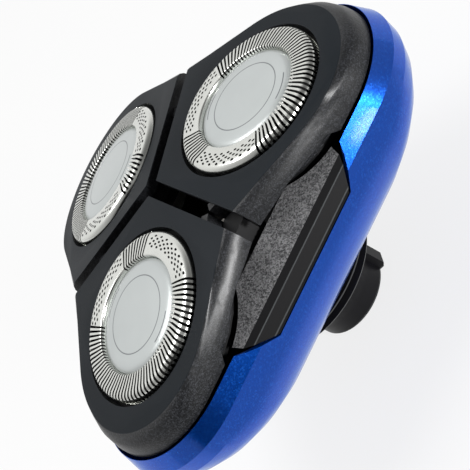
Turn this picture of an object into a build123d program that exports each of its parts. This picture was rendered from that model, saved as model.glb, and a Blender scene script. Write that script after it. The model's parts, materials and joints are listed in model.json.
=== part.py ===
from build123d import *
from math import acos, asin, cos, degrees, pi, radians, sin, sqrt, tan
import os

# Rotary shaver head: three cutting heads that rock in a blue shell on a tilting neck.
# Millimetres and degrees. The origin is the centre of the neck's end face and +Z points to the
# cutting faces. Parts that come three times are made for the lobe on +X and turned about Z.

# Layout of the lobes
lobe_count = 3
lobe_step = 360 / lobe_count
half_step = lobe_step / 2
cap_spacing = 16.6
face_height = 32.3
face_tilt = 8.3
slot_between_lobes = 2.12

# Lobe frame
opening_radius = 10.9
plate_thickness = 1.6
skirt_bottom = 27.2
skirt_wall = 1.5
skirt_reach = 32.35
skirt_side = 21.7
valley_reach = 19.5
side_bulge = 0.6
flat_radius = 12.9
flat_shift = 0.8
flat_valley_reach = 18.2
collar_wall = 0.7
ring_seat = 0.55
collar_depth = 2.7
running_gap = 0.05
press_gap = 0.02
hidden_sides = 30
pin_sides = 12
overcut = 1.0

# Arch in the lobe's skirt over a side plate: half widths along the side, and its gap over the plate
arch_half = 6.5
arch_shoulder_half = 13.3
arch_end_half = 14.6
arch_gap = 1.6

# Guard cap
cap_radius = 10.32
cap_stand = 0.7
cap_sheet = 0.3
cap_skirt = 1.75
cap_flange = 0.8
cap_edge = 0.8
track_inner = 6.9
disc_depth = 0.15
disc_flat_radius = 5.5
disc_edge = 0.32
disc_top = 0.82

# Slots in the guard cap
long_slot_count = 52
long_slot_span = 200
short_slot_count = 9
short_slot_span = 36
slot_width = 0.27
slot_slant = 13
slot_margin = 0.3

# Cutter
blade_count = 15
blade_thickness = 0.35
blade_gap = 0.12
blade_ring_inner = 7.5
blade_ring_outer = 9.6
blade_ring_top = -0.4
blade_ring_thickness = 0.5
blade_lean = 25
hub_plate_thickness = 0.7
hub_boss_radius = 3.1
hub_boss_depth = 2.6
socket_flat = 2.1
socket_ceiling = -2.0

# Holding ring and hair chamber
cap_travel = 0.6
ring_gap = 0.45
ring_thickness = 1.0
ring_inner = 10.1
chamber_flange_radius = 11.8
chamber_flange = 0.5
chamber_radius = 10.9
chamber_depth = 1.6
chamber_wall = 0.7
chamber_hole = 4.2

# Lobe hinge
hinge_distance = 7.75
hinge_depth = 4.1
hinge_pin_radius = 0.55
ear_inner = 9.9
ear_width = 2.3
ear_thickness = 1.2
post_gap = 0.2
pin_reach = 1.1
post_clearance = 1.2
post_end_width = 2.0
post_rise = 1.1

# Gear train
gear_spacing = 16.0
gear_module = 0.8
pinion_teeth = 18
gear_teeth = 22
tooth_backlash = 0.12
tooth_tip_share = 0.46
tooth_root_share = 1.45
gear_bottom = 19.6
gear_thickness = 1.8
gear_hub_radius = 3.2
gear_hub_top = 24.6
gear_post_radius = 1.2
gear_post_top = 20.5
gear_chamber_flat = 2.3
hub_lip = 0.4
hub_mouth_radius = 1.5
spindle_neck_radius = 1.1
spindle_head_radius = 1.45
spindle_head_top = 29.4
spindle_head_length = 1.2
spindle_base_thickness = 1.1
spindle_travel = 1.5

# Gear pan and hinge carrier
pan_bottom = 18.3
pan_floor = 1.0
pan_corner = 10.7
pan_wall = 0.8
carrier_thickness = 0.7
rib_width = 2.4
rib_height = 1.1
tab_width = 10.0
screw_distance = 16.2
screw_radius = 0.8
screw_head_radius = 1.4
screw_head_height = 1.0
screw_length = 3.8

# Springs
leaf_width = 3.0
leaf_sheet = 0.2
leaf_start = 19.6
leaf_bend = 22.0
leaf_end = 26.0
leaf_height = 24.6
coil_radius = 1.75
coil_wire = 0.3
coil_sides = 8
coil_turns = 3

# Drive shaft
shaft_radius = 2.6
shaft_bottom = 6.0
drive_bore_radius = 1.6
drive_bore_length = 5.0
top_journal_radius = 1.5

# Rear shell
rim_height = 27.24
rim_corner = 12.15
rim_edge = 0.05
rim_centre = 20.6
belly_height = 24.84
belly_corner = 12.35
belly_centre = 21.4
belly_depth = 13.57
belly_steps = 7
bottom_corner = 8.0
shell_bottom = 12.4
shell_wall = 1.4
shell_opening = 14.1
shell_boss_radius = 1.7

# Notch and side plate
notch_bottom = 23.1
notch_bottom_half = 9.0
notch_corner_half = 12.2
notch_corner_height = 26.0
notch_top_half = 13.3
side_gap = 0.2
lobe_clearance = 0.45
plate_inner = 18.0
plate_top = 28.2
plate_top_half = 6.0
plate_end_reach = 20.4
plate_face_reach = 22.0
plate_face_height = 26.2
plate_step_reach = 22.5
plate_step_height = 25.45
plate_low_reach = 22.95
plate_low_height = 23.75
leg_thickness = 1.0

# Tilting neck
tilt_height = 16.0
sphere_radius = 13.85
sphere_wall = 0.55
sphere_gap = 0.3
skirt_angle = 73.3
gimbal_angle = 63.4
collar_angle = 52.0
lip_angle = 1.4
gimbal_top = 0.75
skirt_flange_radius = 17.8
skirt_flange = 1.0
tilt_pin_radius = 0.6

# Coupling collar
collar_bore = 4.8
collar_bore_length = 5.2
collar_end_radius = 6.2
collar_waist_radius = 6.75
collar_waist_height = 4.8
collar_neck_radius = 8.5
collar_neck_height = 6.9
collar_straight = 2.4
key_width = 2.0
key_turn = -4.0
key_reach = 7.3
key_length = 5.6
key_chamfer = 0.5
ear_half_width = 1.6
collar_ear_inner = 10.9
collar_zone_angle = 70.0
collar_wall_inner = 1.2

os.makedirs("parts", exist_ok=True)


def save(part, name):
    part.label = name
    export_step(part, f"parts/{name}.step")


def save_three(part, name):
    for index in range(lobe_count):
        save(part.rotate(Axis.Z, index * lobe_step), f"{name}_{index}")


def face_plane(depth=0.0):
    """Plane of the face of the lobe on +X, moved down its normal by depth."""
    tilt = radians(face_tilt)
    normal = Vector(sin(tilt), 0, cos(tilt))
    centre = Vector(cap_spacing, 0, face_height)
    return Plane(origin=centre - normal * depth, x_dir=(cos(tilt), 0, -sin(tilt)), z_dir=normal)


def side_plane(reach):
    """Upright plane across the side between the first two lobes, its X along the side."""
    turn = radians(half_step)
    out = Vector(cos(turn), sin(turn), 0)
    return Plane(origin=out * reach, x_dir=(-sin(turn), cos(turn), 0), z_dir=out)


def hull_outline(centre, radius):
    """Draw the rounded triangle in the open line builder."""
    for index in range(lobe_count):
        middle = radians(index * lobe_step)
        start = middle - radians(half_step)
        end = middle + radians(half_step)
        hub = Vector(centre * cos(middle), centre * sin(middle))
        ThreePointArc(
            hub + Vector(cos(start), sin(start)) * radius,
            hub + Vector(cos(middle), sin(middle)) * radius,
            hub + Vector(cos(end), sin(end)) * radius,
        )
        following = radians((index + 1) * lobe_step)
        next_hub = Vector(centre * cos(following), centre * sin(following))
        Line(
            hub + Vector(cos(end), sin(end)) * radius,
            next_hub + Vector(cos(end), sin(end)) * radius,
        )


def lobe_outline(centre, radius, valley, touch, bulge, plane_tilt=0.0, plane_x=0.0, slot=slot_between_lobes):
    """Draw a lobe's outline: two edges along the slots, two sides and a round outer end.

    The sizes are plan sizes; the outline is stretched along X for a plane that slopes outwards.
    """
    stretch = 1 / cos(radians(plane_tilt))
    turn = radians(half_step)
    inner = (slot / 2) / sin(turn)
    corner = Vector(valley * cos(turn) + slot / 2 * sin(turn), valley * sin(turn) - slot / 2 * cos(turn))
    touch_turn = radians(touch)
    meeting = Vector(centre + radius * cos(touch_turn), radius * sin(touch_turn))
    chord = meeting - corner
    outward = Vector(-chord.Y, chord.X).normalized()
    middle = (corner + meeting) * 0.5 + outward * bulge

    def on_plane(x, y):
        return ((x - plane_x) * stretch, y)

    Line(on_plane(inner, 0), on_plane(corner.X, corner.Y))
    ThreePointArc(
        on_plane(corner.X, corner.Y),
        on_plane(middle.X, middle.Y),
        on_plane(meeting.X, meeting.Y),
    )
    ThreePointArc(
        on_plane(meeting.X, meeting.Y),
        on_plane(centre + radius, 0),
        on_plane(meeting.X, -meeting.Y),
    )
    ThreePointArc(
        on_plane(meeting.X, -meeting.Y),
        on_plane(middle.X, -middle.Y),
        on_plane(corner.X, -corner.Y),
    )
    Line(on_plane(corner.X, -corner.Y), on_plane(inner, 0))


def hidden_round(radius, mode=Mode.ADD):
    """Draw the outline of a hidden turned piece, with few sides."""
    RegularPolygon(radius, hidden_sides, mode=mode)


def screw_hole(gap=0.0):
    """Draw the hidden hole of a pan screw, clear of the screw by gap."""
    RegularPolygon(screw_radius + gap, pin_sides, major_radius=False)


def gear_outline(teeth, turn):
    """Draw straight-flanked teeth with the backlash taken off each flank."""
    pitch = gear_module * teeth / 2
    tip = pitch + gear_module
    root = pitch - 1.2 * gear_module
    half_tooth = degrees((pi * gear_module / 4 - tooth_backlash / 2) / pitch)
    half_tip = half_tooth * tooth_tip_share
    half_root = half_tooth * tooth_root_share
    points = []
    for tooth in range(teeth):
        middle = turn + tooth * 360 / teeth
        for radius, offset in ((root, -half_root), (tip, -half_tip), (tip, half_tip), (root, half_root)):
            angle = radians(middle + offset)
            points.append((radius * cos(angle), radius * sin(angle)))
    Polyline(*points, close=True)


# Sizes worked out from the ones above
tilt_turn = radians(face_tilt)
skirt_radius = 2 * skirt_side - skirt_reach
skirt_centre = skirt_reach - skirt_radius
collar_inner = opening_radius + ring_seat
collar_outer = collar_inner + collar_wall
collar_end = plate_thickness + collar_depth
hinge_height = face_height + (cap_spacing - hinge_distance) * tan(tilt_turn) - hinge_depth
post_top = hinge_height + post_rise
post_reach = plate_inner - post_clearance
plate_slope = (plate_top - plate_face_height) / (plate_face_reach - plate_inner)
arch_height = plate_top + arch_gap
arch_shoulder_height = arch_height - plate_slope * (plate_end_reach - plate_inner)

# Lobe frame: a flat sloping face that rolls over a shoulder into an upright skirt
with BuildPart() as lobe_cavity:
    with BuildSketch(Plane.XY.offset(skirt_bottom - overcut)):
        with BuildLine():
            lobe_outline(
                skirt_centre,
                skirt_radius - skirt_wall,
                valley_reach - skirt_wall,
                half_step,
                side_bulge,
                slot=-slot_between_lobes,
            )
        make_face()
    extrude(amount=face_height - skirt_bottom + cap_spacing * tan(tilt_turn) + overcut)
    split(bisect_by=face_plane(plate_thickness), keep=Keep.BOTTOM)

with BuildPart() as skirt_arch:
    with BuildSketch(side_plane(valley_reach - overcut - skirt_wall)):
        with BuildLine():
            Polyline(
                (-arch_end_half, skirt_bottom),
                (-arch_shoulder_half, arch_shoulder_height),
                (-arch_half, arch_height),
                (arch_half, arch_height),
                (arch_shoulder_half, arch_shoulder_height),
                (arch_end_half, skirt_bottom),
                (arch_end_half, skirt_bottom - overcut),
                (-arch_end_half, skirt_bottom - overcut),
                close=True,
            )
        make_face()
    extrude(amount=skirt_side - valley_reach + skirt_wall + 3 * overcut)

shoulder = (
    # depth under the face, reach of the outer end, radius, valley reach, touch angle, bulge
    (0.0, cap_spacing + flat_shift + flat_radius, flat_radius, flat_valley_reach, 74.0, 0.02),
    (0.2, skirt_reach - 1.45, flat_radius - 0.7, flat_valley_reach + 0.5, 71.0, 0.1),
    (0.75, skirt_reach - 0.7, skirt_radius + 0.65, valley_reach - 0.35, 66.0, 0.3),
    (1.9, skirt_reach - 0.15, skirt_radius + 0.15, valley_reach, 61.0, side_bulge),
)
with BuildPart() as lobe_frame:
    with BuildSketch(Plane.XY.offset(skirt_bottom)):
        with BuildLine():
            lobe_outline(skirt_centre, skirt_radius, valley_reach, half_step, side_bulge)
        make_face()
    for depth, reach, radius, valley, touch, bulge in reversed(shoulder):
        level = face_plane(depth)
        with BuildSketch(level):
            with BuildLine():
                lobe_outline(reach - radius, radius, valley, touch, bulge, face_tilt, level.origin.X)
            make_face()
    loft(ruled=True)
    add(lobe_cavity.part, mode=Mode.SUBTRACT)
    add(skirt_arch.part, mode=Mode.SUBTRACT)
    add(skirt_arch.part.rotate(Axis.Z, -lobe_step), mode=Mode.SUBTRACT)
    with BuildSketch(face_plane(plate_thickness)):
        hidden_round(collar_outer)
    extrude(amount=-collar_depth)
    for side in (1, -1):
        ear_centre = Vector(hinge_distance, side * ear_inner, hinge_height)
        with BuildSketch(Plane(ear_centre, x_dir=(-side, 0, 0), z_dir=(0, side, 0))):
            with BuildLine():
                Polyline(
                    (-ear_width / 2, -ear_width / 4),
                    (-ear_width / 4, -ear_width / 2),
                    (ear_width / 4, -ear_width / 2),
                    (ear_width / 2, -ear_width / 4),
                    (ear_width / 2, hinge_depth - plate_thickness / 2),
                    (-ear_width / 2, hinge_depth - plate_thickness / 2),
                    close=True,
                )
            make_face()
        extrude(amount=ear_thickness)
    with BuildSketch(face_plane(plate_thickness)):
        hidden_round(collar_inner)
    extrude(amount=-collar_depth, mode=Mode.SUBTRACT)
    with BuildSketch(face_plane(-overcut)):
        Circle(opening_radius)
    extrude(amount=-plate_thickness - 2 * overcut, mode=Mode.SUBTRACT)
    with BuildSketch(Plane((hinge_distance, 0, hinge_height), z_dir=(0, 1, 0))):
        RegularPolygon(hinge_pin_radius, pin_sides, major_radius=False)
    extrude(amount=ear_inner + 2 * ear_thickness, both=True, mode=Mode.SUBTRACT)
save_three(lobe_frame.part, "lobe_frame")

# Hinge pins: a pair of short pins pressed into the ears of a lobe
with BuildPart() as hinge_pins:
    for side in (1, -1):
        with BuildSketch(Plane((hinge_distance, side * ear_inner, hinge_height), z_dir=(0, side, 0))):
            Circle(hinge_pin_radius)
        extrude(amount=ear_thickness + post_gap + pin_reach)
save_three(hinge_pins.part, "hinge_pins")

# Guard cap: a drawn steel ring with a raised slotted track and a flange
cap_profile = (
    (track_inner, -disc_depth),
    (track_inner, cap_stand),
    (cap_radius - cap_edge, cap_stand),
    (cap_radius, cap_stand - cap_edge),
    (cap_radius, -cap_skirt),
    (cap_radius + cap_flange, -cap_skirt),
    (cap_radius + cap_flange, -cap_skirt - cap_sheet),
    (cap_radius - cap_sheet, -cap_skirt - cap_sheet),
    (cap_radius - cap_sheet, cap_stand - cap_edge),
    (cap_radius - cap_edge, cap_stand - cap_sheet),
    (track_inner + cap_sheet, cap_stand - cap_sheet),
    (track_inner + cap_sheet, -disc_depth),
)
track_middle = (track_inner + cap_sheet + cap_radius - cap_edge) / 2
slot_length = cap_radius - cap_edge - track_inner - cap_sheet
face_axes = face_plane()
face_upright = Plane(origin=face_axes.origin, x_dir=face_axes.x_dir, z_dir=(0, -1, 0))
face_axis = Axis(face_axes.origin, face_axes.z_dir)
with BuildPart() as guard_cap:
    with BuildSketch(face_upright):
        with BuildLine():
            Polyline(*cap_profile, close=True)
        make_face()
    revolve(axis=face_axis)
    for count, span, middle in (
        (long_slot_count, long_slot_span, 0),
        (short_slot_count, short_slot_span, 180),
    ):
        pitch = span / count
        with BuildSketch(face_plane(-cap_stand - overcut)):
            with PolarLocations(track_middle, count, middle - span / 2 + pitch / 2, span - pitch):
                Rectangle(slot_length, slot_width, rotation=slot_slant)
        extrude(amount=-overcut - cap_sheet - slot_margin, mode=Mode.SUBTRACT)
save_three(guard_cap.part, "guard_cap")

# Disc pressed into the middle of the cap
with BuildPart() as cap_disc:
    with BuildSketch(face_upright):
        with BuildLine():
            Polyline(
                (0, -disc_depth),
                (track_inner - press_gap, -disc_depth),
                (track_inner - press_gap, disc_edge),
                (disc_flat_radius, disc_top),
                (0, disc_top),
                close=True,
            )
        make_face()
    revolve(axis=face_axis)
save_three(cap_disc.part, "cap_disc")

# Cutter: a steel ring of upright leaning blades on a plastic hub
blade_tip = cap_stand - cap_sheet - blade_gap
blade_root = -blade_ring_top
with BuildPart() as cutter_blades:
    with BuildSketch(face_plane(blade_root + blade_ring_thickness)):
        hidden_round(blade_ring_outer)
        hidden_round(blade_ring_inner, mode=Mode.SUBTRACT)
    extrude(amount=blade_ring_thickness)
    with BuildSketch(face_plane(blade_root)):
        with PolarLocations((blade_ring_inner + blade_ring_outer) / 2, blade_count):
            Rectangle(
                blade_ring_outer - blade_ring_inner - 2 * blade_gap,
                blade_thickness,
                rotation=blade_lean,
            )
    extrude(amount=blade_root + blade_tip)
save_three(cutter_blades.part, "cutter_blades")

hub_plate_top = blade_root + blade_ring_thickness
hub_plate_bottom = hub_plate_top + hub_plate_thickness
with BuildPart() as cutter_hub:
    with BuildSketch(face_plane(hub_plate_bottom)):
        hidden_round(blade_ring_outer - blade_gap)
    extrude(amount=hub_plate_thickness)
    with BuildSketch(face_plane(hub_plate_bottom)):
        hidden_round(hub_boss_radius)
    extrude(amount=-hub_boss_depth)
    with BuildSketch(face_plane(hub_plate_bottom + hub_boss_depth)):
        RegularPolygon(socket_flat, 6, major_radius=False)
    extrude(amount=hub_plate_bottom + hub_boss_depth + socket_ceiling, mode=Mode.SUBTRACT)
save_three(cutter_hub.part, "cutter_hub")

# Retaining ring inside the lobe's collar
ring_top = cap_skirt + cap_sheet + cap_travel + ring_gap
with BuildPart() as retaining_ring:
    with BuildSketch(face_plane(ring_top + ring_thickness)):
        hidden_round(collar_inner - running_gap)
        hidden_round(ring_inner, mode=Mode.SUBTRACT)
    extrude(amount=ring_thickness)
save_three(retaining_ring.part, "retaining_ring")

# Hair chamber: a shallow cup under the cutter, its flange on the lobe's collar
chamber_bottom = collar_end + chamber_depth
with BuildPart() as hair_chamber:
    with BuildSketch(face_plane(collar_end + chamber_flange)):
        hidden_round(chamber_flange_radius)
    extrude(amount=chamber_flange)
    with BuildSketch(face_plane(chamber_bottom)):
        hidden_round(chamber_radius)
    extrude(amount=chamber_depth)
    with BuildSketch(face_plane(chamber_bottom - chamber_wall)):
        hidden_round(chamber_radius - chamber_wall)
    extrude(amount=chamber_depth, mode=Mode.SUBTRACT)
    with BuildSketch(face_plane(chamber_bottom + chamber_wall)):
        hidden_round(chamber_hole)
    extrude(amount=3 * chamber_wall, mode=Mode.SUBTRACT)
save_three(hair_chamber.part, "hair_chamber")

# Gear pan: floor, low wall, gear posts and a bearing for the drive shaft
pan_top = pan_bottom + pan_floor
carrier_bottom = gear_bottom + gear_thickness + 2 * (gear_bottom - pan_top) - side_gap
carrier_top = carrier_bottom + carrier_thickness
bearing_radius = shaft_radius + 2 * pan_wall
with BuildPart() as gear_pan:
    with BuildSketch(Plane.XY.offset(pan_bottom)):
        with BuildLine():
            hull_outline(gear_spacing, pan_corner)
        make_face()
    extrude(amount=carrier_bottom - pan_bottom)
    with BuildSketch(Plane.XY.offset(pan_top)):
        with BuildLine():
            hull_outline(gear_spacing, pan_corner - pan_wall)
        make_face()
    extrude(amount=carrier_bottom - pan_top, mode=Mode.SUBTRACT)
    with BuildSketch(Plane.XY.offset(pan_top)):
        with PolarLocations(gear_spacing, lobe_count):
            RegularPolygon(gear_post_radius, 2 * pin_sides)
    extrude(amount=gear_post_top - pan_top)
    with BuildSketch(Plane.XY.offset(pan_bottom - pan_wall)):
        Circle(bearing_radius)
    extrude(amount=pan_wall)
    with BuildSketch(Plane.XY.offset(pan_bottom - pan_wall)):
        Circle(shaft_radius + running_gap)
        with PolarLocations(screw_distance, lobe_count, start_angle=half_step):
            screw_hole(running_gap)
    extrude(amount=pan_floor + pan_wall, mode=Mode.SUBTRACT)
save(gear_pan.part, "gear_pan")

# Screws from the pan into the bosses of the shell
with BuildPart() as pan_screws:
    with BuildSketch(Plane.XY.offset(pan_top)):
        with PolarLocations(screw_distance, lobe_count, start_angle=half_step):
            RegularPolygon(screw_head_radius, 2 * pin_sides)
    extrude(amount=screw_head_height)
    with BuildSketch(Plane.XY.offset(pan_top)):
        with PolarLocations(screw_distance, lobe_count, start_angle=half_step):
            RegularPolygon(screw_radius, pin_sides)
    extrude(amount=-screw_length)
    with BuildSketch(Plane.XY.offset(pan_top + screw_head_height)):
        with PolarLocations(screw_distance, lobe_count, start_angle=half_step):
            Rectangle(screw_radius * 2, screw_radius * 0.5)
            Rectangle(screw_radius * 0.5, screw_radius * 2)
    extrude(amount=-screw_head_height * 0.6, mode=Mode.SUBTRACT)
save(pan_screws.part, "pan_screws")

# Hinge carrier: cover of the gears, with ribs, hinge posts and tabs for the side plates
post_face = ear_inner + ear_thickness + post_gap
half_turn = radians(half_step)


def along_slot(x, y):
    """Turn a point beside the slot between two lobes into distances along and across the slot."""
    return (x * cos(half_turn) + y * sin(half_turn), y * cos(half_turn) - x * sin(half_turn))


post_tip = post_face / sin(half_turn)
post_side = along_slot(hinge_distance + ear_width / 2, post_face)
with BuildPart() as hinge_carrier:
    with BuildSketch(Plane.XY.offset(carrier_bottom)):
        with BuildLine():
            hull_outline(gear_spacing, pan_corner)
        make_face()
        with PolarLocations(screw_distance, lobe_count, start_angle=half_step):
            with Locations((plate_inner + leg_thickness - screw_distance - tab_width / 4, 0)):
                Rectangle(tab_width / 2, tab_width)
    extrude(amount=carrier_thickness)
    with BuildSketch(Plane.XY.offset(carrier_top)):
        with PolarLocations(post_tip / 2, lobe_count, start_angle=half_step):
            Rectangle(post_tip + rib_width, rib_width)
    extrude(amount=rib_height)
    with BuildSketch(Plane.XY.offset(carrier_top)):
        with PolarLocations(0, lobe_count, start_angle=half_step):
            with BuildLine(mode=Mode.PRIVATE) as post_line:
                Polyline(
                    (post_tip, 0),
                    post_side,
                    (post_reach, -post_end_width / 2),
                    (post_reach, post_end_width / 2),
                    (post_side[0], -post_side[1]),
                    close=True,
                )
            add(make_face(post_line.line, mode=Mode.PRIVATE))
    extrude(amount=post_top - carrier_top)
    with BuildSketch(Plane.XY.offset(carrier_bottom)):
        Circle(top_journal_radius + running_gap)
        with PolarLocations(gear_spacing, lobe_count):
            hidden_round(gear_hub_radius + side_gap)
    extrude(amount=carrier_thickness + rib_height, mode=Mode.SUBTRACT)
    for index in range(lobe_count):
        turn = radians(index * lobe_step)
        hinge_centre = Vector(hinge_distance * cos(turn), hinge_distance * sin(turn), hinge_height)
        with BuildSketch(Plane(hinge_centre, z_dir=(-sin(turn), cos(turn), 0))):
            RegularPolygon(hinge_pin_radius + running_gap, pin_sides, major_radius=False)
        extrude(amount=post_face + pin_reach, both=True, mode=Mode.SUBTRACT)
save(hinge_carrier.part, "hinge_carrier")

# Leaf spring under the outer end of each lobe
with BuildPart() as lobe_spring:
    with BuildSketch(Plane.XZ.offset(-leaf_width / 2)):
        with BuildLine():
            Polyline(
                (leaf_start, carrier_top),
                (leaf_bend, carrier_top),
                (leaf_end, leaf_height - leaf_sheet),
                (leaf_end, leaf_height),
                (leaf_bend - leaf_sheet, carrier_top + leaf_sheet),
                (leaf_start, carrier_top + leaf_sheet),
                close=True,
            )
        make_face()
    extrude(amount=leaf_width)
save_three(lobe_spring.part, "lobe_spring")

# Drive shaft: central pinion on a tube with a socket for the handle's spindle
with BuildPart() as drive_shaft:
    with BuildSketch(Plane.XY.offset(gear_bottom)):
        with BuildLine():
            gear_outline(pinion_teeth, 0)
        make_face()
    extrude(amount=gear_thickness)
    with BuildSketch(Plane.XY.offset(shaft_bottom)):
        Circle(shaft_radius)
    extrude(amount=gear_bottom - shaft_bottom)
    with BuildSketch(Plane.XY.offset(gear_bottom + gear_thickness)):
        Circle(top_journal_radius)
    extrude(amount=carrier_top - gear_bottom - gear_thickness)
    with BuildSketch(Plane.XY.offset(shaft_bottom)):
        Circle(drive_bore_radius)
    extrude(amount=drive_bore_length, mode=Mode.SUBTRACT)
save(drive_shaft.part, "drive_shaft")

# Driven gear: teeth, a hollow hub for the spindle and a bearing on the pan's post
gear_tooth_turn = 180 / gear_teeth
chamber_floor = gear_post_top + side_gap / 2
hub_lip_bottom = gear_hub_top - hub_lip
with BuildPart() as driven_gear:
    with BuildSketch(Plane.XY.offset(gear_bottom)):
        with BuildLine():
            gear_outline(gear_teeth, 180 + gear_tooth_turn)
        make_face()
    extrude(amount=gear_thickness)
    with BuildSketch(Plane.XY.offset(gear_bottom + gear_thickness)):
        hidden_round(gear_hub_radius)
    extrude(amount=gear_hub_top - gear_bottom - gear_thickness)
    with BuildSketch(Plane.XY.offset(gear_bottom)):
        RegularPolygon(gear_post_radius + running_gap, 2 * pin_sides, major_radius=False)
    extrude(amount=gear_hub_top - gear_bottom, mode=Mode.SUBTRACT)
    with BuildSketch(Plane.XY.offset(chamber_floor)):
        RegularPolygon(gear_chamber_flat, 6, major_radius=False)
    extrude(amount=hub_lip_bottom - chamber_floor, mode=Mode.SUBTRACT)
    with BuildSketch(Plane.XY.offset(hub_lip_bottom)):
        RegularPolygon(hub_mouth_radius, 2 * pin_sides)
    extrude(amount=hub_lip, mode=Mode.SUBTRACT)
save_three(driven_gear.part.moved(Location((gear_spacing, 0, 0))), "driven_gear")

# Spindle: a six-sided foot that slides in the hub, a neck and a six-sided head
spindle_foot_top = hub_lip_bottom - side_gap / 2
spindle_foot = spindle_foot_top - spindle_base_thickness
with BuildPart() as spindle:
    with BuildSketch(Plane.XY.offset(spindle_foot)):
        RegularPolygon(gear_chamber_flat - 2 * running_gap, 6, major_radius=False)
    extrude(amount=spindle_base_thickness)
    with BuildSketch(Plane.XY.offset(spindle_foot_top)):
        RegularPolygon(spindle_neck_radius, pin_sides)
    extrude(amount=spindle_head_top - spindle_head_length - spindle_foot_top)
    with BuildSketch(Plane.XY.offset(spindle_head_top - spindle_head_length)):
        RegularPolygon(spindle_head_radius, 6)
    extrude(amount=spindle_head_length)
    chamfer(spindle.edges().group_by(Axis.Z)[-1], spindle_head_length / 4)
save_three(spindle.part.moved(Location((gear_spacing, 0, 0))), "spindle")

# Spindle spring: a coil between the chamber's floor and the spindle's foot
coil_height = spindle_foot - chamber_floor - coil_wire
with BuildPart() as spindle_spring:
    with BuildLine():
        Polyline(
            *(
                (
                    coil_radius * cos(2 * pi * step / coil_sides),
                    coil_radius * sin(2 * pi * step / coil_sides),
                    chamber_floor + coil_wire / 2 + coil_height * step / (coil_sides * coil_turns),
                )
                for step in range(coil_sides * coil_turns + 1)
            )
        )
    with BuildSketch(Plane((coil_radius, 0, chamber_floor + coil_wire / 2), z_dir=(0, 1, 0))):
        Rectangle(coil_wire, coil_wire)
    sweep(transition=Transition.RIGHT)
save_three(spindle_spring.part.moved(Location((gear_spacing, 0, 0))), "spindle_spring")


side_section = Plane((0, 0, 0), x_dir=side_plane(0).z_dir, z_dir=side_plane(0).x_dir * -1)


def notch_outline(gap, top):
    """Draw a notch of the shell, as seen from outside, made smaller by gap."""
    Polyline(
        (-notch_bottom_half + gap, notch_bottom + gap),
        (notch_bottom_half - gap, notch_bottom + gap),
        (notch_corner_half - gap, notch_corner_height + gap / 2),
        (notch_top_half - gap, rim_height + gap),
        (notch_top_half - gap, top),
        (-notch_top_half + gap, top),
        (-notch_top_half + gap, rim_height + gap),
        (-notch_corner_half + gap, notch_corner_height + gap / 2),
        close=True,
    )


with BuildPart() as notch_cutter:
    with BuildSketch(side_plane(plate_inner - overcut)):
        with BuildLine():
            notch_outline(0, rim_height + overcut)
        make_face()
    extrude(amount=plate_low_reach + 3 * overcut - plate_inner)


def belly_level(turn):
    """Height, centre and corner radius of the rear shell, turn degrees round its belly."""
    share = cos(radians(turn))
    height = belly_height - belly_depth * sin(radians(turn))
    return height, belly_centre * share, bottom_corner + (belly_corner - bottom_corner) * share


# Rear shell: bevelled rim, round belly, flat bottom with an opening, notches and screw bosses
bottom_turn = degrees(asin((belly_height - shell_bottom) / belly_depth))
belly_turns = [bottom_turn * step / belly_steps for step in range(belly_steps + 1)]
with BuildPart() as shell_outer:
    for turn in reversed(belly_turns):
        height, centre, corner = belly_level(turn)
        with BuildSketch(Plane.XY.offset(height)):
            with BuildLine():
                hull_outline(centre, corner)
            make_face()
    loft(ruled=True)
with BuildPart() as shell_rim:
    with BuildSketch(Plane.XY.offset(belly_height)):
        with BuildLine():
            hull_outline(belly_centre, belly_corner)
        make_face()
    with BuildSketch(Plane.XY.offset(rim_height)):
        with BuildLine():
            hull_outline(rim_centre, rim_corner + rim_edge)
        make_face()
    loft(ruled=True)
with BuildPart() as shell_inside:
    with BuildSketch(Plane.XY.offset(rim_height)):
        with BuildLine():
            hull_outline(rim_centre, rim_corner)
        make_face()
    with BuildSketch(Plane.XY.offset(belly_height)):
        with BuildLine():
            hull_outline(rim_centre, rim_corner - side_gap)
        make_face()
    height, centre, corner = belly_level(bottom_turn / 2)
    with BuildSketch(Plane.XY.offset(height)):
        with BuildLine():
            hull_outline(centre, corner - shell_wall)
        make_face()
    height, centre, corner = belly_level(bottom_turn)
    with BuildSketch(Plane.XY.offset(shell_bottom + shell_wall)):
        with BuildLine():
            hull_outline(centre, corner)
        make_face()
    loft(ruled=True)
flange_bottom = pan_bottom - skirt_flange
with BuildPart() as screw_bosses:
    with BuildSketch(Plane.XY.offset(shell_bottom)):
        with PolarLocations(screw_distance, lobe_count, start_angle=half_step):
            RegularPolygon(shell_boss_radius, pin_sides)
    extrude(amount=flange_bottom - shell_bottom)
    add(shell_outer.part, mode=Mode.INTERSECT)
with BuildPart() as rear_shell:
    add(shell_outer.part)
    add(shell_rim.part)
    add(shell_inside.part, mode=Mode.SUBTRACT)
    add(screw_bosses.part)
    with BuildSketch(Plane.XY.offset(shell_bottom)):
        Circle(shell_opening)
    extrude(amount=flange_bottom - shell_bottom, mode=Mode.SUBTRACT)
    with BuildSketch(Plane.XY.offset(flange_bottom)):
        with PolarLocations(screw_distance, lobe_count, start_angle=half_step):
            screw_hole()
    extrude(amount=-screw_length + pan_floor + skirt_flange - side_gap, mode=Mode.SUBTRACT)
    for index in range(lobe_count):
        add(notch_cutter.part.rotate(Axis.Z, index * lobe_step), mode=Mode.SUBTRACT)
save(rear_shell.part, "rear_shell")

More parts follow.
